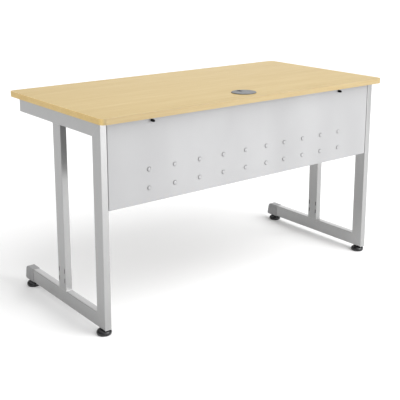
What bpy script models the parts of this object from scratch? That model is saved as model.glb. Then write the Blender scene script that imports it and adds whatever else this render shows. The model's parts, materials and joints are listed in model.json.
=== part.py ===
"""Teacher desk: a laminate worktop on two welded frames of rectangular steel tube, with a folded
sheet-steel modesty panel between the front posts, a cable grommet and four levelling glides.

Metres, +Z up. X runs along the worktop, the modesty panel faces -Y and the sitter is on the +Y
side. The origin is on the floor, under the middle of the desk. Neighbouring solids keep a gap.
"""

import math

import bmesh
import bpy
from mathutils import Matrix, Vector

# Whole desk
LENGTH = 1.320
DEPTH = 0.657
HEIGHT = 0.750
GAP = 0.0003

# Worktop: laminate on a particle-board core, a balancing sheet below, a band round the edge
TOP_THICKNESS = 0.020
SHEET = 0.0008
BAND = 0.0020
CORNER_RADIUS = 0.020
CORNER_STEPS = 6

# Frames: one profile of tube throughout
TUBE_WIDTH = 0.0254
TUBE_DEPTH = 0.0508
TUBE_WALL = 0.0016
TUBE_RADIUS = 0.0022
TUBE_STEPS = 3
SIDE_INSET = 0.015
FRONT_INSET = 0.039
RAIL_END_Y = 0.2725
MID_POST_Y = -0.001
FOOT_HEIGHT = 0.023

# Four accessory slots through each mid post
SLOT_WIDTH = 0.0042
SLOT_HEIGHT = 0.019
SLOT_OFFSET_Y = 0.019
SLOT_HEIGHTS = (0.111, 0.147)

# Moulded cap on the rear end of each foot bar
CAP_START_Y = 0.228
CAP_END_Y = 0.292
CAP_PROUD = 0.0010
CAP_SLANT = 0.009
CAP_TOP_RADIUS = 0.016
CAP_LOW_RADIUS = 0.006
CAP_STEPS = 6
CAP_EDGE_RADIUS = 0.0020
SPIGOT_LENGTH = 0.028
SPIGOT_OVERLAP = 0.006
SPIGOT_CLEARANCE = 0.0004

# Plug in the rear end of each top rail
PLUG_FLANGE = 0.0030
PLUG_SPIGOT = 0.014
PLUG_OVERLAP = 0.001

# Levelling glides
GLIDE_FRONT_OFFSET = 0.0287
GLIDE_REAR_Y = 0.254
GLIDE_RADIUS = 0.026
PAD_HEIGHT = 0.0196
PAD_SOCKET_RADIUS = 0.0056
PAD_SOCKET_FLOOR = 0.0090
STUD_RADIUS = 0.0040
STUD_TOP = 0.056
STUD_HEX_RADIUS = 0.0052
STUD_HEX_TOP = 0.0186
INSERT_RADIUS = 0.0055
INSERT_BORE = 0.0044
INSERT_LENGTH = 0.015
INSERT_HOLE = 0.0059
GLIDE_STEPS = 16
PAD_STEPS = 24
STUD_CHAMFER = 0.0008
DRIVER_SLOT = (0.0012, 0.012, 0.004)
# The pad's outside from its top, as shares of its radius and height, and its sole's radius
PAD_CROWN = ((0.46, 1.0), (0.72, 0.92), (0.90, 0.76), (1.0, 0.52), (1.0, 0.36), (0.93, 0.12))
PAD_SOLE = 0.82

# Modesty panel: a shallow tray of folded sheet with two rows of pressed domes
PANEL_SHEET = 0.0012
PANEL_BOTTOM = 0.435
PANEL_FOLD = 0.014
PANEL_SETBACK = 0.0010
PANEL_SIDE_GAP = 0.0015
PANEL_BEND = 0.0020
DOME_COLUMNS = (-0.460, -0.354, -0.247, -0.140, -0.035, 0.066, 0.157, 0.254, 0.352, 0.452)
DOME_ROWS = (0.485, 0.550)
DOME_RADIUS = 0.0070
DOME_RISE = 0.0024
DOME_CROWN = 0.55
DIMPLE_CROWN = 0.60
DOME_STEPS = 12

# Brackets that tie the panel to the worktop, at the outer dome columns
BRACKET_X = 0.446
BRACKET_WIDTH = 0.030
BRACKET_LEG = 0.016
BRACKET_SHEET = 0.0020
CLAMP_SCREW_DROP = 0.0155
CLAMP_HEAD_RADIUS = 0.0050
CLAMP_HEAD_LENGTH = 0.0150
CLAMP_SHANK_LENGTH = 0.0080

# Screws
SCREW_RADIUS = 0.0024
SCREW_HOLE = 0.0028
SCREW_HEAD_RADIUS = 0.0048
SCREW_HEAD_HEIGHT = 0.0026
SCREW_BITE = 0.012
SCREW_TIP = 0.0025
SCREW_STEPS = 12
RAIL_SCREW_Y = (-0.185, 0.085, 0.250)
SIDE_SCREW_HEIGHTS = (0.470, 0.690)
SIDE_SCREW_LENGTH = 0.008

# Cable grommet
GROMMET_Y = -0.234
GROMMET_HOLE = 0.0400
GROMMET_FLANGE = 0.0460
GROMMET_RISE = 0.0022
GROMMET_EDGE = 0.0009
GROMMET_TUBE = 0.0395
GROMMET_BORE = 0.0372
GROMMET_DROP = 0.027
SEAT_RADIUS = 0.0370
LIP_RADIUS = 0.0345
LIP_TOP = -0.0012
LIP_BOTTOM = -0.0032
LID_RADIUS = 0.0366
SHUTTER_RADIUS = 0.0340
SHUTTER_SHEET = 0.0013
HUB_RADIUS = 0.0040
HUB_HEAD_RADIUS = 0.0062
HUB_HEAD_DEPTH = 0.0011
CABLE_SLOT_WIDTH = 0.014
CABLE_SLOT_INNER = 0.014
CABLE_CUTTER_HEIGHT = 0.012
COIN_SLOT = (0.0090, 0.0014, 0.0007)
GROMMET_STEPS = 40

# Drilling: how far a cutter starts outside the face it enters, the room left past a screw's tip
# or a stud's top, and the drill through a sheet, from behind it to in front of it
OVERRUN = 0.002
TIP_ROOM = 0.001
STUD_ROOM = 0.007
SHEET_DRILL_BACK = 0.004
SHEET_DRILL_LENGTH = 0.006

WELD = 1e-6

# Worked out from the above
TOP_UNDERSIDE = HEIGHT - TOP_THICKNESS
FRAME_FRONT_Y = -DEPTH / 2 + FRONT_INSET
FRAME_OUTER_X = LENGTH / 2 - SIDE_INSET
FRAME_TOP = TOP_UNDERSIDE - GAP
BAR_TOP = FOOT_HEIGHT + TUBE_DEPTH
RAIL_BOTTOM = FRAME_TOP - TUBE_DEPTH
PANEL_FACE_Y = FRAME_FRONT_Y + PANEL_SETBACK
PANEL_HALF = FRAME_OUTER_X - TUBE_WIDTH - PANEL_SIDE_GAP
PANEL_TOP = TOP_UNDERSIDE - GAP
SIDE_SCREW_Y = PANEL_FACE_Y + PANEL_FOLD * 0.55
BRACKET_TOP = PANEL_TOP - PANEL_SHEET - GAP
BRACKET_FACE_Y = PANEL_FACE_Y + PANEL_SHEET + GAP
BRACKET_SCREW_Y = BRACKET_FACE_Y + BRACKET_LEG * 0.45
CLAMP_SCREW_Z = PANEL_TOP - CLAMP_SCREW_DROP

# Finishes: colour, roughness, metallic
MAPLE = ((0.74, 0.57, 0.30), 0.42, 0.0)
MAPLE_BAND = ((0.72, 0.53, 0.25), 0.45, 0.0)
CHIPBOARD = ((0.55, 0.42, 0.26), 0.90, 0.0)
BACKER = ((0.10, 0.085, 0.065), 0.60, 0.0)
SILVER_PAINT = ((0.60, 0.61, 0.61), 0.38, 0.55)
PANEL_PAINT = ((0.70, 0.71, 0.72), 0.45, 0.35)
GREY_PLASTIC = ((0.30, 0.30, 0.31), 0.50, 0.0)
GROMMET_PLASTIC = ((0.24, 0.25, 0.26), 0.45, 0.0)
BLACK_PLASTIC = ((0.02, 0.02, 0.025), 0.30, 0.0)
ZINC = ((0.62, 0.62, 0.60), 0.35, 1.0)
BLACK_STEEL = ((0.03, 0.03, 0.03), 0.40, 0.6)
BRASS = ((0.60, 0.45, 0.20), 0.35, 1.0)

# Turns local X to world Y, local Y to world Z and local Z to world X
SIDEWAYS = Matrix(((0, 0, 1, 0), (1, 0, 0, 0), (0, 1, 0, 0), (0, 0, 0, 1)))
# Turns local Z to world +Y, so that a tube's outline or a screw's shank runs front to rear
FRONT_TO_REAR = Matrix.Rotation(math.radians(-90), 4, "X")
# Turn local +Z to world +X or -X, and to world -Y
TOWARDS_PLUS_X = Matrix.Rotation(math.radians(90), 4, "Y")
TOWARDS_MINUS_X = Matrix.Rotation(math.radians(-90), 4, "Y")
TOWARDS_FRONT = Matrix.Rotation(math.radians(90), 4, "X")


# --- Scene and materials


def clear_scene():
    for old in list(bpy.data.objects):
        bpy.data.objects.remove(old, do_unlink=True)


def new_collection(name):
    made = bpy.data.collections.new(name)
    bpy.context.scene.collection.children.link(made)
    return made


clear_scene()
PARTS = new_collection("teacher_desk")
CUTTERS = new_collection("cutters")


def set_finish(part, finish):
    """Gives a part its own material."""
    colour, roughness, metallic = finish
    material = bpy.data.materials.new(part.name)
    material.use_nodes = True
    shader = material.node_tree.nodes["Principled BSDF"]
    shader.inputs["Base Color"].default_value = (*colour, 1.0)
    shader.inputs["Roughness"].default_value = roughness
    shader.inputs["Metallic"].default_value = metallic
    material.diffuse_color = (*colour, 1.0)
    part.data.materials.clear()
    part.data.materials.append(material)


def place(name, data, finish, matrix):
    """Adds an object: a part with a finish, or a hidden cutter when the finish is None."""
    made = bpy.data.objects.new(name, data)
    made.matrix_world = matrix
    if finish is None:
        CUTTERS.objects.link(made)
        made.hide_render = True
        made.display_type = "WIRE"
    else:
        PARTS.objects.link(made)
        set_finish(made, finish)
    return made


def at(x, y, z, turn=None):
    """A placement at a point, turned if asked."""
    moved = Matrix.Translation((x, y, z))
    return moved @ turn if turn else moved


# --- Shapes


def rounded_rectangle(width, height, radius, steps):
    """A closed outline centred on the origin, anticlockwise, with each corner an arc."""
    points = []
    for corner in range(4):
        across = 1 if corner in (0, 3) else -1
        up = 1 if corner in (0, 1) else -1
        centre_x = across * (width / 2 - radius)
        centre_y = up * (height / 2 - radius)
        for step in range(steps + 1):
            angle = math.pi / 2 * (corner + step / steps)
            points.append((centre_x + radius * math.cos(angle), centre_y + radius * math.sin(angle)))
    return points


def rectangle(width, height):
    half_width, half_height = width / 2, height / 2
    return [
        (half_width, half_height),
        (-half_width, half_height),
        (-half_width, -half_height),
        (half_width, -half_height),
    ]


def round_corner(before, corner, after, radius, steps):
    """The arc that rounds one corner of an outline, between its straight neighbours."""
    to_before = (before - corner).normalized()
    to_after = (after - corner).normalized()
    half_angle = to_before.angle(to_after) / 2
    reach = radius / math.tan(half_angle)
    centre = corner + (to_before + to_after).normalized() * radius / math.sin(half_angle)
    first = (corner + to_before * reach - centre).normalized()
    last = (corner + to_after * reach - centre).normalized()
    return [centre + first.slerp(last, step / steps) * radius for step in range(steps + 1)]


def circle(centre, radius, steps):
    turns = [2 * math.pi * step / steps for step in range(steps)]
    return [(centre[0] + radius * math.cos(a), centre[1] + radius * math.sin(a)) for a in turns]


def outline_mesh(name, loops, thickness):
    """A flat outline, with its holes, given a thickness: a filled 2D curve read as a mesh."""
    curve = bpy.data.curves.new(name, "CURVE")
    curve.dimensions = "2D"
    curve.fill_mode = "BOTH"
    curve.extrude = thickness / 2
    for loop in loops:
        spline = curve.splines.new("POLY")
        spline.points.add(len(loop) - 1)
        for point, (x, y) in zip(spline.points, loop):
            point.co = (x, y, 0.0, 1.0)
        spline.use_cyclic_u = True
    guide = bpy.data.objects.new(name + "_outline", curve)
    PARTS.objects.link(guide)
    graph = bpy.context.evaluated_depsgraph_get()
    mesh = bpy.data.meshes.new_from_object(guide.evaluated_get(graph))
    mesh.name = name
    bpy.data.objects.remove(guide)
    bpy.data.curves.remove(curve)
    weld(mesh)
    return mesh


def weld(mesh):
    shape = bmesh.new()
    shape.from_mesh(mesh)
    bmesh.ops.remove_doubles(shape, verts=shape.verts, dist=WELD)
    bmesh.ops.recalc_face_normals(shape, faces=shape.faces)
    shape.to_mesh(mesh)
    shape.free()


def outline_solid(name, loops, thickness, finish, matrix):
    return place(name, outline_mesh(name, loops, thickness), finish, matrix)


def block(name, size, finish, matrix):
    """A box of the given size, centred on its placement."""
    shape = bmesh.new()
    bmesh.ops.create_cube(shape, size=1.0, matrix=Matrix.Diagonal((*size, 1.0)))
    mesh = bpy.data.meshes.new(name)
    shape.to_mesh(mesh)
    shape.free()
    return place(name, mesh, finish, matrix)


def pegs(name, places, radius, end_radius, length, steps):
    """A cutter of round pegs, one per placement, each from its placement along its own +Z."""
    shape = bmesh.new()
    for matrix in places:
        bmesh.ops.create_cone(
            shape,
            cap_ends=True,
            segments=steps,
            radius1=radius,
            radius2=end_radius,
            depth=length,
            matrix=matrix @ Matrix.Translation((0, 0, length / 2)),
        )
    mesh = bpy.data.meshes.new(name)
    shape.to_mesh(mesh)
    shape.free()
    return place(name, mesh, None, Matrix.Identity(4))


def turned(name, profile, steps, finish, matrix, closed=False):
    """A profile of (radius, height) points turned about local Z. An open profile runs from the
    axis at the top, down the outside, to the axis at the bottom. A closed one makes a ring."""
    mesh = bpy.data.meshes.new(name)
    links = [(i, i + 1) for i in range(len(profile) - 1)]
    if closed:
        links.append((len(profile) - 1, 0))
    mesh.from_pydata([(radius, 0.0, height) for radius, height in profile], links, [])
    made = place(name, mesh, finish, matrix)
    screw = made.modifiers.new("turn", "SCREW")
    screw.axis = "Z"
    screw.angle = 2 * math.pi
    screw.steps = steps
    screw.render_steps = steps
    screw.use_merge_vertices = True
    screw.merge_threshold = 1e-5
    screw.use_smooth_shade = True
    return made


def boolean(target, other, operation):
    change = target.modifiers.new(other.name, "BOOLEAN")
    change.operation = operation
    change.solver = "EXACT"
    change.object = other


def cut(target, *cutters):
    for cutter in cutters:
        boolean(target, cutter, "DIFFERENCE")


def bevel(part, width, steps, angle_degrees=40):
    change = part.modifiers.new("bevel", "BEVEL")
    change.width = width
    change.segments = steps
    change.limit_method = "ANGLE"
    change.angle_limit = math.radians(angle_degrees)
    return change


# --- Worktop


def rail_screw_points():
    """Where the rail screws enter the worktop: side name, number, x, y."""
    for side, sign in (("left", -1), ("right", 1)):
        for number, y in enumerate(RAIL_SCREW_Y, start=1):
            yield side, number, sign * (FRAME_OUTER_X - TUBE_WIDTH / 2), y


def make_worktop():
    """Core, laminate, backer and edge band, with the grommet hole through all the sheets."""
    hole = circle((0, GROMMET_Y), GROMMET_HOLE, GROMMET_STEPS)
    inner_length = LENGTH - 2 * (BAND + GAP)
    inner_depth = DEPTH - 2 * (BAND + GAP)
    inner_radius = CORNER_RADIUS - BAND - GAP
    inside = rounded_rectangle(inner_length, inner_depth, inner_radius, CORNER_STEPS)
    core_thickness = TOP_THICKNESS - 2 * (SHEET + GAP)
    middle = TOP_UNDERSIDE + TOP_THICKNESS / 2

    core = outline_solid("worktop_core", [inside, hole], core_thickness, CHIPBOARD, at(0, 0, middle))
    outline_solid(
        "worktop_laminate", [inside, hole], SHEET, MAPLE, at(0, 0, HEIGHT - SHEET / 2)
    )
    backer = outline_solid(
        "worktop_backer", [inside, hole], SHEET, BACKER, at(0, 0, TOP_UNDERSIDE + SHEET / 2)
    )
    outside = rounded_rectangle(LENGTH, DEPTH, CORNER_RADIUS, CORNER_STEPS)
    band_inside = rounded_rectangle(
        LENGTH - 2 * BAND, DEPTH - 2 * BAND, CORNER_RADIUS - BAND, CORNER_STEPS
    )
    outline_solid(
        "worktop_edge_band", [outside, band_inside], TOP_THICKNESS, MAPLE_BAND, at(0, 0, middle)
    )

    holes = [at(x, y, TOP_UNDERSIDE - OVERRUN) for _, _, x, y in rail_screw_points()]
    holes += [at(sign * BRACKET_X, BRACKET_SCREW_Y, TOP_UNDERSIDE - OVERRUN) for sign in (-1, 1)]
    depth = OVERRUN + SCREW_BITE + TIP_ROOM
    screw_holes = pegs("worktop_screw_holes", holes, SCREW_HOLE, SCREW_HOLE, depth, SCREW_STEPS)
    cut(core, screw_holes)
    cut(backer, screw_holes)


# --- Grommet


def make_grommet():
    """A flanged sleeve in the worktop, a lid that lifts out, and a shutter that turns under it."""
    seat = at(0, GROMMET_Y, HEIGHT)
    sleeve = [
        (GROMMET_FLANGE - GROMMET_EDGE, GROMMET_RISE),
        (GROMMET_FLANGE, GROMMET_RISE - GROMMET_EDGE),
        (GROMMET_FLANGE, GAP),
        (GROMMET_TUBE, GAP),
        (GROMMET_TUBE, -GROMMET_DROP),
        (GROMMET_BORE, -GROMMET_DROP),
        (GROMMET_BORE, LIP_BOTTOM),
        (LIP_RADIUS, LIP_BOTTOM),
        (LIP_RADIUS, LIP_TOP),
        (SEAT_RADIUS, LIP_TOP),
        (SEAT_RADIUS, GROMMET_RISE),
    ]
    turned("grommet_sleeve", sleeve, GROMMET_STEPS, GROMMET_PLASTIC, seat, closed=True)

    lid_bottom = LIP_TOP + GAP
    head_seat = GROMMET_RISE - HUB_HEAD_DEPTH - GAP
    lid = [
        (LID_RADIUS, GROMMET_RISE),
        (LID_RADIUS, lid_bottom),
        (HUB_RADIUS + GAP, lid_bottom),
        (HUB_RADIUS + GAP, head_seat),
        (HUB_HEAD_RADIUS + GAP, head_seat),
        (HUB_HEAD_RADIUS + GAP, GROMMET_RISE),
    ]
    lid = turned("grommet_lid", lid, GROMMET_STEPS, GROMMET_PLASTIC, seat, closed=True)

    shutter_top = lid_bottom - GAP
    shutter = [
        (0.0, GROMMET_RISE),
        (HUB_HEAD_RADIUS, GROMMET_RISE),
        (HUB_HEAD_RADIUS, GROMMET_RISE - HUB_HEAD_DEPTH),
        (HUB_RADIUS, GROMMET_RISE - HUB_HEAD_DEPTH),
        (HUB_RADIUS, shutter_top),
        (SHUTTER_RADIUS, shutter_top),
        (SHUTTER_RADIUS, shutter_top - SHUTTER_SHEET),
        (0.0, shutter_top - SHUTTER_SHEET),
    ]
    shutter = turned("grommet_shutter", shutter, GROMMET_STEPS, GROMMET_PLASTIC, seat)

    # the lid's cable slot is at the rear, and the shutter's is at the front, so it is shut
    slot_length = GROMMET_HOLE - CABLE_SLOT_INNER
    slot_size = (CABLE_SLOT_WIDTH, slot_length, CABLE_CUTTER_HEIGHT)
    slot_middle = CABLE_SLOT_INNER + slot_length / 2
    for part, way in ((lid, 1), (shutter, -1)):
        spot = at(0, GROMMET_Y + way * slot_middle, HEIGHT)
        cut(part, block(part.name + "_cable_slot", slot_size, None, spot))
    coin_slot = at(0, GROMMET_Y, HEIGHT + GROMMET_RISE)
    cut(shutter, block("grommet_coin_slot", COIN_SLOT, None, coin_slot))


# --- Frames


def tube_loops():
    bore_width, bore_depth = TUBE_WIDTH - 2 * TUBE_WALL, TUBE_DEPTH - 2 * TUBE_WALL
    return [
        rounded_rectangle(TUBE_WIDTH, TUBE_DEPTH, TUBE_RADIUS, TUBE_STEPS),
        rectangle(bore_width, bore_depth),
    ]


def tube(name, x, start, end):
    """A straight tube from start to end, each a (y, z) point on its middle line."""
    (start_y, start_z), (end_y, end_z) = start, end
    upright = start_y == end_y
    length = end_z - start_z if upright else end_y - start_y
    spot = at(x, (start_y + end_y) / 2, (start_z + end_z) / 2, None if upright else FRONT_TO_REAR)
    return outline_solid(name, tube_loops(), length, SILVER_PAINT, spot)


def mitre(post, bar, corner, inner):
    """Cuts two tubes along the 45 degree plane from their outer corner to their inner corner.
    Each corner is (y, z). The post lies in front of the plane and the bar behind it."""
    middle = Vector((post.location.x, (corner[0] + inner[0]) / 2, (corner[1] + inner[1]) / 2))
    rise = 1 if inner[1] > corner[1] else -1
    to_bar = Vector((0, 1, -rise)).normalized()
    side = 2.5 * TUBE_DEPTH
    turn = Matrix.Rotation(math.radians(45), 4, "X")
    for part, way in ((post, to_bar), (bar, -to_bar)):
        centre = middle + way * (side / 2 - GAP / 2)
        name = f"{part.name}_{bar.name}_mitre"
        cut(part, block(name, (side, side, side), None, at(*centre, turn)))


def slot_cutter(name, x):
    """Four upright slots with round ends, cut right through a mid post."""
    shape = rounded_rectangle(SLOT_WIDTH, SLOT_HEIGHT, SLOT_WIDTH / 2 - 1e-5, 4)
    spots = [(y, z) for y in (-SLOT_OFFSET_Y, SLOT_OFFSET_Y) for z in SLOT_HEIGHTS]
    loops = [[(MID_POST_Y + y + dy, z + dz) for dy, dz in shape] for y, z in spots]
    return outline_solid(name, loops, 2 * TUBE_WIDTH, None, at(x, 0, 0, SIDEWAYS))


def foot_cap(name, x, glide_hole):
    """A moulded cap with a round nose that slants out to its foot, and a spigot that plugs into
    the foot bar."""
    length = CAP_END_Y - CAP_START_Y
    low, high = -CAP_PROUD, TUBE_DEPTH + CAP_PROUD
    front_low, front_high = Vector((GAP, low)), Vector((GAP, high))
    heel, crown = Vector((length, low)), Vector((length - CAP_SLANT, high))
    nose = [front_low, *round_corner(front_low, heel, crown, CAP_LOW_RADIUS, CAP_STEPS)]
    nose += [*round_corner(heel, crown, front_high, CAP_TOP_RADIUS, CAP_STEPS), front_high]
    width = TUBE_WIDTH + 2 * CAP_PROUD
    spot = at(x, CAP_START_Y, FOOT_HEIGHT, SIDEWAYS)
    cap = outline_solid(name, [nose], width, GREY_PLASTIC, spot)
    bevel(cap, CAP_EDGE_RADIUS, 2)

    clearance = TUBE_WALL + SPIGOT_CLEARANCE
    size = (
        TUBE_WIDTH - 2 * clearance,
        SPIGOT_LENGTH + SPIGOT_OVERLAP,
        TUBE_DEPTH - 2 * clearance,
    )
    middle_y = CAP_START_Y + (SPIGOT_OVERLAP - SPIGOT_LENGTH) / 2
    spigot = block(
        name + "_spigot", size, None, at(x, middle_y, FOOT_HEIGHT + TUBE_DEPTH / 2)
    )
    boolean(cap, spigot, "UNION")
    cut(cap, glide_hole)
    return cap


def rail_plug(name, x):
    """A flat plug that closes the rear end of the top rail."""
    clearance = TUBE_WALL + SPIGOT_CLEARANCE
    height = (FRAME_TOP + RAIL_BOTTOM) / 2
    flange = rounded_rectangle(TUBE_WIDTH, TUBE_DEPTH, TUBE_RADIUS, TUBE_STEPS)
    spot = at(x, RAIL_END_Y - PLUG_FLANGE / 2, height, FRONT_TO_REAR)
    plug = outline_solid(name, [flange], PLUG_FLANGE, GREY_PLASTIC, spot)
    size = (TUBE_WIDTH - 2 * clearance, PLUG_SPIGOT, TUBE_DEPTH - 2 * clearance)
    spigot_y = RAIL_END_Y - PLUG_FLANGE - PLUG_SPIGOT / 2 + PLUG_OVERLAP
    spigot = block(name + "_spigot", size, None, at(x, spigot_y, height))
    boolean(plug, spigot, "UNION")
    return plug


def make_frame(side, sign):
    """One welded side frame: front post, mid post, top rail and foot bar, with its plastic ends."""
    x = sign * (FRAME_OUTER_X - TUBE_WIDTH / 2)
    post_y = FRAME_FRONT_Y + TUBE_DEPTH / 2
    rear_y = FRAME_FRONT_Y + TUBE_DEPTH
    rail_z = FRAME_TOP - TUBE_DEPTH / 2
    bar_z = FOOT_HEIGHT + TUBE_DEPTH / 2
    rail_rear = RAIL_END_Y - PLUG_FLANGE - GAP

    post = tube(side + "_front_post", x, (post_y, FOOT_HEIGHT), (post_y, FRAME_TOP))
    rail = tube(side + "_top_rail", x, (FRAME_FRONT_Y, rail_z), (rail_rear, rail_z))
    bar = tube(side + "_foot_bar", x, (FRAME_FRONT_Y, bar_z), (CAP_START_Y, bar_z))
    mitre(post, bar, (FRAME_FRONT_Y, FOOT_HEIGHT), (rear_y, BAR_TOP))
    mitre(post, rail, (FRAME_FRONT_Y, FRAME_TOP), (rear_y, RAIL_BOTTOM))

    mid_ends = (MID_POST_Y, BAR_TOP + GAP), (MID_POST_Y, RAIL_BOTTOM - GAP)
    mid_post = tube(side + "_mid_post", x, *mid_ends)
    cut(mid_post, slot_cutter(side + "_mid_post_slots", x))

    screw_spots = [at(x, y, RAIL_BOTTOM - OVERRUN) for y in RAIL_SCREW_Y]
    through = TUBE_DEPTH + 2 * OVERRUN
    cut(rail, pegs(side + "_rail_holes", screw_spots, SCREW_HOLE, SCREW_HOLE, through, SCREW_STEPS))

    inner_x = sign * (FRAME_OUTER_X - TUBE_WIDTH)
    outwards = TOWARDS_PLUS_X if sign > 0 else TOWARDS_MINUS_X
    side_spots = [
        at(inner_x - sign * OVERRUN, SIDE_SCREW_Y, z, outwards) for z in SIDE_SCREW_HEIGHTS
    ]
    depth = OVERRUN + SIDE_SCREW_LENGTH
    cut(post, pegs(side + "_post_holes", side_spots, SCREW_HOLE, SCREW_HOLE, depth, SCREW_STEPS))

    front_hole = [at(x, FRAME_FRONT_Y + GLIDE_FRONT_OFFSET, FOOT_HEIGHT - OVERRUN)]
    wall_depth = TUBE_WALL + 2 * OVERRUN
    bar_hole_name = side + "_bar_glide_hole"
    cut(bar, pegs(bar_hole_name, front_hole, INSERT_HOLE, INSERT_HOLE, wall_depth, GLIDE_STEPS))

    hole_start = FOOT_HEIGHT - CAP_PROUD - OVERRUN
    rear_hole = [at(x, GLIDE_REAR_Y, hole_start)]
    cap_depth = STUD_TOP + STUD_ROOM - hole_start
    cap_hole_name = side + "_cap_glide_hole"
    glide_hole = pegs(cap_hole_name, rear_hole, INSERT_HOLE, INSERT_HOLE, cap_depth, GLIDE_STEPS)
    foot_cap(side + "_foot_cap", x, glide_hole)
    rail_plug(side + "_rail_plug", x)


# --- Levelling glides


def make_glide(corner, x, y, insert_z):
    """A nylon pad, the stud that turns in its socket, and the threaded insert in the foot."""
    floor = at(x, y, 0.0)
    outside = [(share * GLIDE_RADIUS, height * PAD_HEIGHT) for share, height in PAD_CROWN]
    socket = [(0.0, PAD_SOCKET_FLOOR), (PAD_SOCKET_RADIUS, PAD_SOCKET_FLOOR)]
    socket.append((PAD_SOCKET_RADIUS, PAD_HEIGHT))
    sole = [(PAD_SOLE * GLIDE_RADIUS, 0.0), (0.0, 0.0)]
    turned(corner + "_glide_pad", socket + outside + sole, PAD_STEPS, BLACK_PLASTIC, floor)

    shank_bottom = STUD_HEX_TOP - OVERRUN
    stud = [
        (0.0, STUD_TOP),
        (STUD_RADIUS - STUD_CHAMFER, STUD_TOP),
        (STUD_RADIUS, STUD_TOP - STUD_CHAMFER),
        (STUD_RADIUS, shank_bottom),
        (0.0, shank_bottom),
    ]
    stud = turned(corner + "_glide_stud", stud, GLIDE_STEPS, ZINC, floor)
    hex_bottom = PAD_SOCKET_FLOOR + GAP
    hex_length = STUD_HEX_TOP - hex_bottom
    base = pegs(
        corner + "_stud_hex", [at(x, y, hex_bottom)], STUD_HEX_RADIUS, STUD_HEX_RADIUS, hex_length, 6
    )
    boolean(stud, base, "UNION")
    cut(stud, block(corner + "_stud_slot", DRIVER_SLOT, None, at(x, y, STUD_TOP)))

    sleeve = [
        (INSERT_RADIUS, insert_z + INSERT_LENGTH),
        (INSERT_RADIUS, insert_z),
        (INSERT_BORE, insert_z),
        (INSERT_BORE, insert_z + INSERT_LENGTH),
    ]
    turned(corner + "_glide_insert", sleeve, GLIDE_STEPS, BRASS, floor, closed=True)


def make_glides():
    for side, sign in (("left", -1), ("right", 1)):
        x = sign * (FRAME_OUTER_X - TUBE_WIDTH / 2)
        make_glide(side + "_front", x, FRAME_FRONT_Y + GLIDE_FRONT_OFFSET, FOOT_HEIGHT)
        make_glide(side + "_rear", x, GLIDE_REAR_Y, FOOT_HEIGHT)


# --- Modesty panel and its fixings


def dome_spots(y):
    """The domes' places on a plane at y, each with its +Z towards the front."""
    for row in DOME_ROWS:
        for x in DOME_COLUMNS:
            yield at(x, y, row, TOWARDS_FRONT)


def make_panel():
    """A tray of folded sheet, open to the rear, with domes pressed out of its face."""
    size = (2 * PANEL_HALF, PANEL_FOLD, PANEL_TOP - PANEL_BOTTOM)
    middle = at(0, PANEL_FACE_Y + PANEL_FOLD / 2, (PANEL_TOP + PANEL_BOTTOM) / 2)
    panel = block("modesty_panel", size, PANEL_PAINT, middle)
    shape = bmesh.new()
    shape.from_mesh(panel.data)
    rear = [face for face in shape.faces if face.normal.y > 0.5]
    bmesh.ops.delete(shape, geom=rear, context="FACES_ONLY")
    folds = [edge for edge in shape.edges if not edge.is_boundary]
    bmesh.ops.bevel(
        shape, geom=folds, offset=PANEL_BEND, segments=2, profile=0.5, affect="EDGES"
    )
    shape.to_mesh(panel.data)
    shape.free()
    wall = panel.modifiers.new("sheet", "SOLIDIFY")
    wall.thickness = PANEL_SHEET
    wall.offset = -1.0
    wall.use_even_offset = True

    lead = PANEL_SHEET / 2
    dome_places = list(dome_spots(PANEL_FACE_Y + lead))
    crown = DOME_RADIUS * DOME_CROWN
    domes = pegs("panel_domes", dome_places, DOME_RADIUS, crown, DOME_RISE + lead, DOME_STEPS)
    boolean(panel, domes, "UNION")
    inner = DOME_RADIUS - PANEL_SHEET
    inner_crown = inner * DIMPLE_CROWN
    dimple_places = list(dome_spots(PANEL_FACE_Y + 2 * PANEL_SHEET))
    reach = DOME_RISE + PANEL_SHEET
    dimples = pegs("panel_dimples", dimple_places, inner, inner_crown, reach, DOME_STEPS)
    cut(panel, dimples)

    holes = []
    for sign, outwards in ((-1, TOWARDS_MINUS_X), (1, TOWARDS_PLUS_X)):
        bracket_x = sign * BRACKET_X
        face_back = PANEL_FACE_Y + SHEET_DRILL_BACK
        holes.append(at(bracket_x, face_back, CLAMP_SCREW_Z, TOWARDS_FRONT))
        holes.append(at(bracket_x, BRACKET_SCREW_Y, PANEL_TOP - SHEET_DRILL_BACK))
        for z in SIDE_SCREW_HEIGHTS:
            holes.append(at(sign * (PANEL_HALF - SHEET_DRILL_BACK), SIDE_SCREW_Y, z, outwards))
    cut(panel, pegs("panel_holes", holes, SCREW_HOLE, SCREW_HOLE, SHEET_DRILL_LENGTH, SCREW_STEPS))


def screw(name, matrix, length, head_radius, head_height, finish):
    """A round-headed screw. Local +Z runs from under the head to the tip."""
    profile = [
        (0.0, length),
        (SCREW_RADIUS * 0.4, length),
        (SCREW_RADIUS, length - SCREW_TIP),
        (SCREW_RADIUS, 0.0),
        (head_radius, 0.0),
        (head_radius, -head_height * 0.6),
        (head_radius * 0.7, -head_height),
        (0.0, -head_height),
    ]
    turned(name, profile, SCREW_STEPS, finish, matrix)


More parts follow.
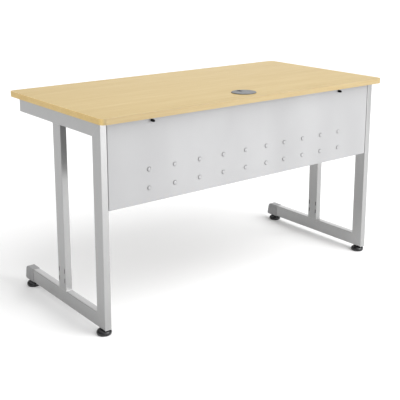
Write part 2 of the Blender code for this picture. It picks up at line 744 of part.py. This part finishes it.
def make_brackets():
    """Under each end of the worktop's front: an angle bracket, its wood screw and the black
    screw that clamps the panel to it."""
    for side, sign in (("left", -1), ("right", 1)):
        x = sign * BRACKET_X
        angle = [
            (0.0, 0.0),
            (0.0, -BRACKET_LEG),
            (BRACKET_SHEET, -BRACKET_LEG),
            (BRACKET_SHEET, -BRACKET_SHEET),
            (BRACKET_LEG, -BRACKET_SHEET),
            (BRACKET_LEG, 0.0),
        ]
        spot = at(x, BRACKET_FACE_Y, BRACKET_TOP, SIDEWAYS)
        bracket = outline_solid(side + "_panel_bracket", [angle], BRACKET_WIDTH, ZINC, spot)
        holes = [
            at(x, BRACKET_SCREW_Y, BRACKET_TOP - SHEET_DRILL_BACK),
            at(x, BRACKET_FACE_Y + SHEET_DRILL_BACK, CLAMP_SCREW_Z, TOWARDS_FRONT),
        ]
        hole_name = side + "_bracket_holes"
        drill = pegs(hole_name, holes, SCREW_HOLE, SCREW_HOLE, SHEET_DRILL_LENGTH, SCREW_STEPS)
        cut(bracket, drill)
        under = BRACKET_TOP - BRACKET_SHEET - GAP
        screw(
            side + "_bracket_screw",
            at(x, BRACKET_SCREW_Y, under),
            TOP_UNDERSIDE + SCREW_BITE - under,
            SCREW_HEAD_RADIUS,
            SCREW_HEAD_HEIGHT,
            ZINC,
        )
        screw(
            side + "_clamp_screw",
            at(x, PANEL_FACE_Y - GAP, CLAMP_SCREW_Z, FRONT_TO_REAR),
            CLAMP_SHANK_LENGTH,
            CLAMP_HEAD_RADIUS,
            CLAMP_HEAD_LENGTH,
            BLACK_STEEL,
        )


def make_rail_screws():
    for side, number, x, y in rail_screw_points():
        under = RAIL_BOTTOM - GAP
        length = TOP_UNDERSIDE + SCREW_BITE - under
        screw(
            f"{side}_rail_screw_{number}",
            at(x, y, under),
            length,
            SCREW_HEAD_RADIUS,
            SCREW_HEAD_HEIGHT,
            ZINC,
        )


def make_side_screws():
    """Two screws each side, from inside the panel's side fold into the front post."""
    for side, sign, outwards in (("left", -1, TOWARDS_MINUS_X), ("right", 1, TOWARDS_PLUS_X)):
        x = sign * (PANEL_HALF - PANEL_SHEET - GAP)
        for level, z in zip(("lower", "upper"), SIDE_SCREW_HEIGHTS):
            screw(
                f"{side}_panel_screw_{level}",
                at(x, SIDE_SCREW_Y, z, outwards),
                SIDE_SCREW_LENGTH,
                SCREW_HEAD_RADIUS,
                SCREW_HEAD_HEIGHT,
                ZINC,
            )


make_worktop()
make_grommet()
make_frame("left", -1)
make_frame("right", 1)
make_glides()
make_panel()
make_brackets()
make_rail_screws()
make_side_screws()
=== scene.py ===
"""Looks of the teacher desk: materials, smooth visible pieces, floor, light and camera, built
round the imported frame. X runs along the worktop, the modesty panel faces -Y and +Z is up, in
metres."""

import json
import math

import bmesh
import bpy
from mathutils import Matrix, Vector


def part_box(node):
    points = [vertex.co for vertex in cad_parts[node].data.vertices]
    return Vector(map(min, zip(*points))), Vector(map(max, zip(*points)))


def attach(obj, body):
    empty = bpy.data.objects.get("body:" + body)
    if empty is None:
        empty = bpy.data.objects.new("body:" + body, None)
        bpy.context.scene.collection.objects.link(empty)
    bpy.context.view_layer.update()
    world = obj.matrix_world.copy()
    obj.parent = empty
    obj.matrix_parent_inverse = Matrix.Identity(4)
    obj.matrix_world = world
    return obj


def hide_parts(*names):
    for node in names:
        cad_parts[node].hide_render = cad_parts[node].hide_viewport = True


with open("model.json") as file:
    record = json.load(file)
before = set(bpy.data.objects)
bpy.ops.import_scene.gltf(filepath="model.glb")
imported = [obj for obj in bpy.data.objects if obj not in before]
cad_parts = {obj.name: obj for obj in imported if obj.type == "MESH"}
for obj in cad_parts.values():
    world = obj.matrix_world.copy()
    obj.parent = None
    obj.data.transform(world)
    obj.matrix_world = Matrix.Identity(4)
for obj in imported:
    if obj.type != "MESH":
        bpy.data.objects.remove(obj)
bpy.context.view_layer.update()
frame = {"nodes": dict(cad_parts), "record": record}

NODES = frame["nodes"]
RECORD = frame["record"]

DESK = "desk"
SIDES = ("left", "right")
GLIDES = ("left_front", "left_rear", "right_front", "right_rear")
SHARP_ANGLE = math.radians(32)
BEVEL_ANGLE = math.radians(40)
BEVEL_STEPS = 2

# Sizes of the smooth pieces
PANEL_SETBACK = 0.0010
DOME_COLUMNS = (-0.460, -0.354, -0.247, -0.140, -0.035, 0.066, 0.157, 0.254, 0.352, 0.452)
DOME_ROWS = (0.485, 0.550)
DOME_RADIUS = 0.0073
DOME_FLARE = 0.0009
DOME_RISE = 0.0035
DOME_STEPS = 8
DOME_SIDES = 32
GLIDE_SIDES = 64
GLIDE_SOCKET_RADIUS = 0.0056
GLIDE_SOCKET_FLOOR = 0.0090
GLIDE_SOLE_RECESS = 0.0012
WELD_RADIUS = 0.0011
WELD_SINK = 0.65  # share of a bead's radius that lies inside the tubes

# The painted shade inside the mid posts starts half a wall in from their outer faces
HALF_WALL = 0.0008
INSIDE_SHADE_FADE = 0.0002
INSIDE_SHADE_COLOUR = (0.008, 0.008, 0.008, 1.0)

# The painted light on the worktop's end bands fades in over this distance from the end
END_PAINTED_LIGHT_INNER = 0.012
END_PAINTED_LIGHT_OUTER = 0.003

# Camera, fitted to the outlines of the desk with a limited lens shift
CAMERA_AZIMUTH = -37.98
CAMERA_PITCH = 12.86
CAMERA_PLACE = (-1.9229, -2.4370, 1.2683)
CAMERA_LENS = 73.04
SENSOR = 36.0
CAMERA_SHIFT = -0.17

# Light: a soft key from the right, a softbox in front of the desk, and a studio with a low bright
# front, a lit backdrop behind the desk and a ceiling. Each lobe: direction, cosines where it
# starts and is full, strength.
KEY_WAY = (0.28, -0.62, 0.72)
KEY_STRENGTH = 1.2
KEY_SPREAD = 60.0
BOX_PLACE = (0.9, -2.5, 1.05)
BOX_AIM = (0.40, -0.8, 0.10)
BOX_SIZE = 1.5
BOX_POWER = 40.0
WORLD_DIM = 0.20
WORLD_LOBES = (
    ((0.12, -0.95, 0.24), 0.30, 1.0, 0.60),
    ((0.61, 0.77, 0.20), 0.86, 1.0, 1.60),
    ((0.12, -0.10, 0.98), 0.10, 1.0, 0.92),
)
FLOOR_SIZE = 60.0
FLOOR_DROP = 0.0002


# --- Node material helpers


class Look:
    """A material's node tree, with short calls for the nodes that the finishes share."""

    def __init__(self, name):
        self.material = bpy.data.materials.new(name)
        self.material.use_nodes = True
        self.tree = self.material.node_tree
        self.shader = self.tree.nodes["Principled BSDF"]
        self.coords = self.tree.nodes.new("ShaderNodeTexCoord").outputs["Object"]

    def set(self, **values):
        for name, value in values.items():
            self.shader.inputs[name.replace("_", " ")].default_value = value

    def node(self, kind, **settings):
        made = self.tree.nodes.new(kind)
        for name, value in settings.items():
            setattr(made, name, value)
        return made

    def link(self, source, target):
        self.tree.links.new(source, target)

    def scaled(self, scale, turn=(0, 0, 0)):
        made = self.node("ShaderNodeMapping")
        made.inputs["Scale"].default_value = scale
        made.inputs["Rotation"].default_value = turn
        self.link(self.coords, made.inputs["Vector"])
        return made.outputs["Vector"]

    def noise(self, scale, detail=3.0, roughness=0.5, distortion=0.0, size=1.0):
        made = self.node("ShaderNodeTexNoise")
        made.inputs["Scale"].default_value = size
        made.inputs["Detail"].default_value = detail
        made.inputs["Roughness"].default_value = roughness
        made.inputs["Distortion"].default_value = distortion
        self.link(self.scaled(scale), made.inputs["Vector"])
        return made.outputs["Fac"]

    def ramp(self, source, low, high, out_low=0.0, out_high=1.0):
        made = self.node("ShaderNodeMapRange")
        made.inputs["From Min"].default_value = low
        made.inputs["From Max"].default_value = high
        made.inputs["To Min"].default_value = out_low
        made.inputs["To Max"].default_value = out_high
        self.link(source, made.inputs["Value"])
        return made.outputs["Result"]

    def mix(self, share, first, second, mode="MIX"):
        made = self.node("ShaderNodeMix", data_type="RGBA", blend_type=mode)
        for value, socket in ((share, 0), (first, 6), (second, 7)):
            if hasattr(value, "links"):
                self.link(value, made.inputs[socket])
            else:
                made.inputs[socket].default_value = value
        return made.outputs[2]

    def colour(self, source):
        self.link(source, self.shader.inputs["Base Color"])

    def roughness(self, source):
        self.link(source, self.shader.inputs["Roughness"])

    def bump(self, height, distance, strength=1.0):
        made = self.node("ShaderNodeBump")
        made.inputs["Distance"].default_value = distance
        made.inputs["Strength"].default_value = strength
        self.link(height, made.inputs["Height"])
        self.link(made.outputs["Normal"], self.shader.inputs["Normal"])


def rgb(red, green, blue):
    """A colour from 0-255 display values, in linear light."""
    values = [value / 255 for value in (red, green, blue)]
    linear = [v / 12.92 if v <= 0.04045 else ((v + 0.055) / 1.055) ** 2.4 for v in values]
    return (*linear, 1.0)


def wood_look(name, pale, middle, dark, roughness, end_painted_light=None):
    """Printed maple: broad soft figure and fine fibres, both long along X. A painted light
    multiplies the colour on the worktop's two short ends and makes them paler."""
    look = Look(name)
    figure = look.noise((0.55, 9.0, 9.0), detail=4.0, roughness=0.55, distortion=0.6)
    fibres = look.noise((5.0, 260.0, 260.0), detail=5.0, roughness=0.65)
    flecks = look.noise((26.0, 520.0, 520.0), detail=2.0, roughness=0.5)
    base = look.mix(look.ramp(figure, 0.32, 0.70), middle, pale)
    streaked = look.mix(look.ramp(fibres, 0.42, 0.78, 0.0, 0.55), base, dark)
    wood = look.mix(look.ramp(flecks, 0.60, 0.78, 0.0, 0.30), streaked, dark)
    # Painted light: the band's two short ends are made paler than the rest of it.
    if end_painted_light:
        half_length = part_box("worktop_edge_band")[1].x
        parts = look.node("ShaderNodeSeparateXYZ")
        look.link(look.coords, parts.inputs["Vector"])
        distance = look.node("ShaderNodeMath", operation="ABSOLUTE")
        look.link(parts.outputs["X"], distance.inputs[0])
        inner, outer = half_length - END_PAINTED_LIGHT_INNER, half_length - END_PAINTED_LIGHT_OUTER
        share = look.ramp(distance.outputs["Value"], inner, outer)
        wood = look.mix(share, wood, look.mix(1.0, wood, end_painted_light, "MULTIPLY"))
    look.colour(wood)
    look.roughness(look.ramp(fibres, 0.2, 0.8, roughness - 0.05, roughness + 0.07))
    look.bump(fibres, 0.00006, 0.35)
    look.set(Specular_IOR_Level=0.24, Coat_Weight=0.02, Coat_Roughness=0.30)
    return look.material


def painted_shade_inside(look, colour):
    """Paints near-black shade into the insides of the mid posts, which shows through their slots.
    """
    low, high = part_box("right_mid_post")
    centre = ((low.x + high.x) / 2, 0.0, (low.z + high.z) / 2)
    reach = (
        (high.x - low.x) / 2 - HALF_WALL,
        min(high.y, -low.y) - HALF_WALL,
        (high.z - low.z) / 2,
    )
    mirrored = look.node("ShaderNodeVectorMath", operation="ABSOLUTE")
    look.link(look.coords, mirrored.inputs[0])
    centred = look.node("ShaderNodeVectorMath", operation="SUBTRACT")
    look.link(mirrored.outputs["Vector"], centred.inputs[0])
    centred.inputs[1].default_value = centre
    offset = look.node("ShaderNodeVectorMath", operation="ABSOLUTE")
    look.link(centred.outputs["Vector"], offset.inputs[0])
    beyond = look.node("ShaderNodeVectorMath", operation="SUBTRACT")
    look.link(offset.outputs["Vector"], beyond.inputs[0])
    beyond.inputs[1].default_value = reach
    parts = look.node("ShaderNodeSeparateXYZ")
    look.link(beyond.outputs["Vector"], parts.inputs["Vector"])
    furthest = parts.outputs["X"]
    for axis in ("Y", "Z"):
        larger = look.node("ShaderNodeMath", operation="MAXIMUM")
        look.link(furthest, larger.inputs[0])
        look.link(parts.outputs[axis], larger.inputs[1])
        furthest = larger.outputs["Value"]
    return look.mix(look.ramp(furthest, -INSIDE_SHADE_FADE, 0.0, 1.0, 0.0), colour, INSIDE_SHADE_COLOUR)


def paint_look(name, colour, roughness, metallic, flake, shade_inside=False):
    """Powder coat: orange peel, fine metallic flake and a slow drift in tone, with painted shade
    inside the mid posts if asked.
    """
    look = Look(name)
    drift = look.noise((6, 6, 3), detail=2.0)
    peel = look.noise((1, 1, 1), detail=2.0, size=900.0)
    sparkle = look.noise((1, 1, 1), detail=1.0, size=4200.0)
    dark = tuple(value * 0.94 for value in colour[:3]) + (1.0,)
    light = tuple(min(1.0, value * 1.05) for value in colour[:3]) + (1.0,)
    toned = look.mix(look.ramp(drift, 0.3, 0.7), dark, light)
    flaked = look.mix(look.ramp(sparkle, 0.55, 0.8, 0.0, flake), toned, (0.9, 0.9, 0.9, 1.0))
    # Painted shade: the insides of the mid posts are near black so that their slots read dark.
    look.colour(painted_shade_inside(look, flaked) if shade_inside else flaked)
    look.roughness(look.ramp(drift, 0.3, 0.7, roughness - 0.04, roughness + 0.05))
    look.bump(peel, 0.00004, 0.30)
    look.set(Metallic=metallic, Specular_IOR_Level=0.5)
    return look.material


def plastic_look(name, colour, roughness, grain, depth):
    """Moulded plastic with a spark-eroded grain and a little handling wear in the gloss."""
    look = Look(name)
    texture = look.noise((1, 1, 1), detail=3.0, size=grain)
    wear = look.noise((1, 1, 1), detail=4.0, size=60.0)
    lighter = tuple(min(1.0, value * 1.18 + 0.004) for value in colour[:3]) + (1.0,)
    look.colour(look.mix(look.ramp(wear, 0.45, 0.75), colour, lighter))
    look.roughness(look.ramp(wear, 0.3, 0.7, roughness - 0.06, roughness + 0.08))
    look.bump(texture, depth, 0.4)
    return look.material


def metal_look(name, colour, roughness, scratch):
    """Plated or turned metal with faint random scratches."""
    look = Look(name)
    marks = look.noise((1, 1, 0.25), detail=5.0, roughness=0.7, size=scratch)
    dull = tuple(value * 0.72 for value in colour[:3]) + (1.0,)
    look.colour(look.mix(look.ramp(marks, 0.35, 0.75), colour, dull))
    look.roughness(look.ramp(marks, 0.3, 0.7, roughness - 0.05, roughness + 0.12))
    look.bump(marks, 0.00003, 0.4)
    look.set(Metallic=1.0)
    return look.material


def board_look(name, pale, dark):
    """Particle board: pressed chips."""
    look = Look(name)
    chips = look.node("ShaderNodeTexVoronoi")
    chips.inputs["Scale"].default_value = 420.0
    look.link(look.scaled((1.0, 1.0, 2.2)), chips.inputs["Vector"])
    tone = look.noise((1, 1, 1), detail=4.0, size=180.0)
    shades = look.mix(look.ramp(tone, 0.3, 0.7), pale, dark)
    look.colour(look.mix(look.ramp(chips.outputs["Distance"], 0.0, 0.9, 0.0, 0.5), shades, dark))
    look.bump(chips.outputs["Distance"], 0.0003, 0.5)
    look.set(Roughness=0.9)
    return look.material


# Painted light that makes the worktop's short ends paler than its front band.
END_PAINTED_LIGHT = (1.90, 1.76, 1.34, 1.0)
MAPLE = wood_look(
    "maple_laminate", rgb(186, 161, 94), rgb(177, 149, 78), rgb(160, 125, 58), 0.42
)
MAPLE_EDGE = wood_look(
    "maple_edge", rgb(168, 152, 116), rgb(161, 142, 103), rgb(148, 124, 83), 0.45, END_PAINTED_LIGHT
)
# The frame's silver also carries the painted shade inside the mid posts.
SILVER = paint_look("silver_powder_coat", rgb(164, 164, 164), 0.32, 0.80, 0.16, True)
SHEET_GREY = paint_look("panel_powder_coat", rgb(153, 153, 154), 0.50, 0.15, 0.12)
CAP_GREY = plastic_look("cap_plastic", rgb(148, 148, 149), 0.50, 1400.0, 0.00008)
GROMMET_GREY = plastic_look("grommet_plastic", rgb(84, 86, 88), 0.48, 1800.0, 0.00005)
BLACK = plastic_look("glide_plastic", rgb(22, 22, 25), 0.22, 900.0, 0.00002)
ZINC = metal_look("zinc_plate", rgb(190, 190, 186), 0.34, 260.0)
BLACK_STEEL = metal_look("black_oxide", rgb(34, 34, 36), 0.38, 300.0)
BRASS = metal_look("turned_brass", rgb(196, 166, 104), 0.30, 320.0)
CHIPBOARD = board_look("particle_board", rgb(188, 160, 118), rgb(138, 108, 70))
BACKING = plastic_look("backing_sheet", rgb(90, 82, 72), 0.62, 700.0, 0.00004)
WELD = paint_look("weld_bead", rgb(184, 184, 184), 0.36, 0.60, 0.15)


# --- Pieces


def dress(piece, material):
    """Gives a piece one material."""
    piece.data.materials.clear()
    piece.data.materials.append(material)


def soften(piece, width=0.0):
    """Smooth shading with sharp edges kept, and a small rounding of those edges if asked."""
    piece.data.shade_smooth()
    piece.data.set_sharp_from_angle(angle=SHARP_ANGLE)
    if width:
        change = piece.modifiers.new("rounding", "BEVEL")
        change.width = width
        change.segments = BEVEL_STEPS
        change.limit_method = "ANGLE"
        change.angle_limit = BEVEL_ANGLE
        change.harden_normals = True


def add_piece(name, shape, material, body):
    """Makes a smooth-shaded object of a bmesh and has it ride on a body."""
    mesh = bpy.data.meshes.new(name)
    bmesh.ops.recalc_face_normals(shape, faces=shape.faces)
    shape.to_mesh(mesh)
    shape.free()
    piece = bpy.data.objects.new(name, mesh)
    bpy.context.scene.collection.objects.link(piece)
    mesh.shade_smooth()
    mesh.set_sharp_from_angle(angle=SHARP_ANGLE)
    dress(piece, material)
    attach(piece, body)
    return piece


def lathe(profile, steps, matrix):
    """A bmesh of (radius, height) points turned about +Z and then moved by a matrix."""
    shape = bmesh.new()
    points = [shape.verts.new((radius, 0, height)) for radius, height in profile]
    edges = [shape.edges.new(pair) for pair in zip(points, points[1:])]
    bmesh.ops.spin(
        shape,
        geom=points + edges,
        cent=(0, 0, 0),
        axis=(0, 0, 1),
        angle=2 * math.pi,
        steps=steps,
        use_merge=True,
    )
    bmesh.ops.remove_doubles(shape, verts=shape.verts, dist=1e-6)
    shape.transform(matrix)
    return shape


# --- Carried-over CAD nodes

LOOKS = {
    "silver_tube": SILVER,
    "grey_sheet": SHEET_GREY,
    "grey_plastic": CAP_GREY,
    "maple_laminate": MAPLE,
    "maple_edge_band": MAPLE_EDGE,
    "backing_sheet": BACKING,
    "particle_board": CHIPBOARD,
    "grommet_plastic": GROMMET_GREY,
    "black_plastic": BLACK,
    "zinc_steel": ZINC,
    "black_steel": BLACK_STEEL,
    "brass_insert": BRASS,
}
EASED = {"worktop_edge_band": 0.0015, "left_rail_plug": 0.0006, "right_rail_plug": 0.0006}
for part in RECORD["subparts"]:
    node = NODES[part["node"]]
    dress(node, LOOKS[part["material_slot"]])
    soften(node, EASED.get(part["node"], 0.0))


# --- Glides


def make_glide(corner):
    """A glossy pad with a domed shoulder and a rolled sole."""
    name = corner + "_glide_pad"
    low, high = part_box(name)
    middle = (low + high) / 2
    radius = (high.x - low.x) / 2
    height = high.z - low.z
    outline = [
        (0.0, GLIDE_SOCKET_FLOOR),
        (GLIDE_SOCKET_RADIUS, GLIDE_SOCKET_FLOOR),
        (GLIDE_SOCKET_RADIUS, height - 0.0004),
        (0.38 * radius, height),
        (0.50 * radius, height * 0.995),
        (0.66 * radius, height * 0.94),
        (0.80 * radius, height * 0.85),
        (0.91 * radius, height * 0.71),
        (0.975 * radius, height * 0.56),
        (radius, height * 0.42),
        (0.990 * radius, height * 0.26),
        (0.955 * radius, height * 0.12),
        (0.90 * radius, height * 0.03),
        (0.82 * radius, 0.0),
        (0.60 * radius, 0.0),
        (0.56 * radius, GLIDE_SOLE_RECESS),
        (0.0, GLIDE_SOLE_RECESS),
    ]
    place = Matrix.Translation((middle.x, middle.y, low.z))
    shape = lathe(outline, GLIDE_SIDES, place)
    piece = add_piece(name + "_look", shape, BLACK, corner + "_pad")
    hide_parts(name)


for corner in GLIDES:
    make_glide(corner)


# --- Modesty panel's domes and the frames' welds


def make_domes():
    """Smooth domes over the pressed ones, on the panel's front face."""
    front_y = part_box("left_front_post")[0].y + PANEL_SETBACK
    profile = [(0.0, DOME_RISE)]
    for step in range(1, DOME_STEPS + 1):
        angle = math.pi / 2 * step / DOME_STEPS
        profile.append((DOME_RADIUS * math.sin(angle), DOME_RISE * math.cos(angle) ** 0.8))
    profile.append((DOME_RADIUS + DOME_FLARE, 0.0))
    shape = bmesh.new()
    turn = Matrix.Rotation(math.radians(90), 4, "X")
    for row in DOME_ROWS:
        for x in DOME_COLUMNS:
            dome = lathe(profile, DOME_SIDES, Matrix.Translation((x, front_y, row)) @ turn)
            scrap = bpy.data.meshes.new("dome")
            dome.to_mesh(scrap)
            dome.free()
            shape.from_mesh(scrap)
            bpy.data.meshes.remove(scrap)
    add_piece("panel_domes", shape, SHEET_GREY, DESK)


def add_bead(name, loop, radius):
    """A weld bead: a thin round cord along a closed loop of points."""
    curve = bpy.data.curves.new(name, "CURVE")
    curve.dimensions = "3D"
    curve.bevel_depth = radius
    curve.bevel_resolution = 3
    spline = curve.splines.new("POLY")
    spline.points.add(len(loop) - 1)
    for point, place in zip(spline.points, loop):
        point.co = (*place, 1.0)
    spline.use_cyclic_u = True
    guide = bpy.data.objects.new(name + "_path", curve)
    bpy.context.scene.collection.objects.link(guide)
    graph = bpy.context.evaluated_depsgraph_get()
    mesh = bpy.data.meshes.new_from_object(guide.evaluated_get(graph))
    bpy.data.objects.remove(guide)
    bpy.data.curves.remove(curve)
    shape = bmesh.new()
    shape.from_mesh(mesh)
    bpy.data.meshes.remove(mesh)
    add_piece(name, shape, WELD, DESK)


def make_welds(side):
    """Beads round both mitres of a side frame, and round both ends of its mid post."""
    post_low, post_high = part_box(side + "_front_post")
    bar_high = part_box(side + "_foot_bar")[1]
    rail_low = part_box(side + "_top_rail")[0]
    mid_low, mid_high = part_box(side + "_mid_post")
    sink = WELD_RADIUS * WELD_SINK
    x_low, x_high = post_low.x + sink, post_high.x - sink
    for name, outer_z, inner_z in (
        ("foot", post_low.z + sink, bar_high.z - sink),
        ("top", post_high.z - sink, rail_low.z + sink),
    ):
        outer_y, inner_y = post_low.y + sink, post_high.y - sink
        loop = [
            (x_low, outer_y, outer_z),
            (x_high, outer_y, outer_z),
            (x_high, inner_y, inner_z),
            (x_low, inner_y, inner_z),
        ]
        add_bead(f"{side}_{name}_mitre_weld", loop, WELD_RADIUS)
    for name, z in (("low", bar_high.z), ("high", rail_low.z)):
        y_low, y_high = mid_low.y, mid_high.y
        x_near, x_far = mid_low.x + sink, mid_high.x - sink
        loop = [(x_near, y_low, z), (x_far, y_low, z), (x_far, y_high, z), (x_near, y_high, z)]
        add_bead(f"{side}_mid_post_{name}_weld", loop, WELD_RADIUS)


make_domes()
for side in SIDES:
    make_welds(side)


# --- Stage, light and camera


def make_stage():
    """The plain floor."""
    shape = bmesh.new()
    bmesh.ops.create_grid(shape, x_segments=1, y_segments=1, size=FLOOR_SIZE)
    mesh = bpy.data.meshes.new("floor")
    shape.to_mesh(mesh)
    shape.free()
    floor = bpy.data.objects.new("floor", mesh)
    bpy.context.scene.collection.objects.link(floor)
    floor.location.z = -FLOOR_DROP
    look = Look("floor_white")
    look.set(Base_Color=(0.97, 0.97, 0.97, 1.0), Roughness=0.9, Specular_IOR_Level=0.1)
    mesh.materials.append(look.material)


def make_sun(name, towards, strength, spread):
    """A soft distant light that shines from a direction."""
    data = bpy.data.lights.new(name, "SUN")
    data.energy = strength
    data.angle = math.radians(spread)
    light = bpy.data.objects.new(name, data)
    light.rotation_euler = (-Vector(towards)).to_track_quat("-Z", "Y").to_euler()
    bpy.context.scene.collection.objects.link(light)


def make_front_box():
    """A softbox that lights the floor in front of the desk, which the frame's paint mirrors."""
    data = bpy.data.lights.new("front_box", "AREA")
    data.shape = "SQUARE"
    data.size = BOX_SIZE
    data.energy = BOX_POWER
    light = bpy.data.objects.new("front_box", data)
    light.location = BOX_PLACE
    way = Vector(BOX_AIM) - Vector(BOX_PLACE)
    light.rotation_euler = way.to_track_quat("-Z", "Y").to_euler()
    bpy.context.scene.collection.objects.link(light)


def make_world():
    """A white studio: a dim room with soft bright lobes."""
    world = bpy.data.worlds.new("studio")
    bpy.context.scene.world = world
    world.use_nodes = True
    tree = world.node_tree
    direction = tree.nodes.new("ShaderNodeTexCoord")
    total = None
    for way, start, full, strength in WORLD_LOBES:
        dot = tree.nodes.new("ShaderNodeVectorMath")
        dot.operation = "DOT_PRODUCT"
        dot.inputs[1].default_value = Vector(way).normalized()
        tree.links.new(direction.outputs["Generated"], dot.inputs[0])
        lobe = tree.nodes.new("ShaderNodeMapRange")
        lobe.interpolation_type = "SMOOTHSTEP"
        lobe.inputs["From Min"].default_value = start
        lobe.inputs["From Max"].default_value = full
        lobe.inputs["To Max"].default_value = strength
        tree.links.new(dot.outputs["Value"], lobe.inputs["Value"])
        adder = tree.nodes.new("ShaderNodeMath")
        adder.operation = "ADD"
        tree.links.new(lobe.outputs["Result"], adder.inputs[0])
        adder.inputs[1].default_value = WORLD_DIM
        if total is not None:
            tree.links.new(total, adder.inputs[1])
        total = adder.outputs["Value"]
    backdrop = tree.nodes["Background"]
    backdrop.inputs["Color"].default_value = (1.0, 1.0, 1.0, 1.0)
    tree.links.new(total, backdrop.inputs["Strength"])


def make_camera():
    """The camera, looking the way its azimuth and pitch say."""
    data = bpy.data.cameras.new("camera")
    data.sensor_width = SENSOR
    data.lens = CAMERA_LENS
    data.shift_y = CAMERA_SHIFT
    data.clip_start = 0.05
    data.clip_end = 100.0
    camera = bpy.data.objects.new("camera", data)
    azimuth, pitch = math.radians(CAMERA_AZIMUTH), math.radians(CAMERA_PITCH)
    back = Vector(
        (
            math.sin(azimuth) * math.cos(pitch),
            -math.cos(azimuth) * math.cos(pitch),
            math.sin(pitch),
        )
    )
    camera.location = CAMERA_PLACE
    camera.rotation_mode = "QUATERNION"
    camera.rotation_quaternion = (-back).to_track_quat("-Z", "Y")
    bpy.context.scene.collection.objects.link(camera)
    bpy.context.scene.camera = camera


make_stage()
make_world()
make_sun("key", KEY_WAY, KEY_STRENGTH, KEY_SPREAD)
make_front_box()
make_camera()
bpy.context.scene.view_settings.view_transform = "Standard"
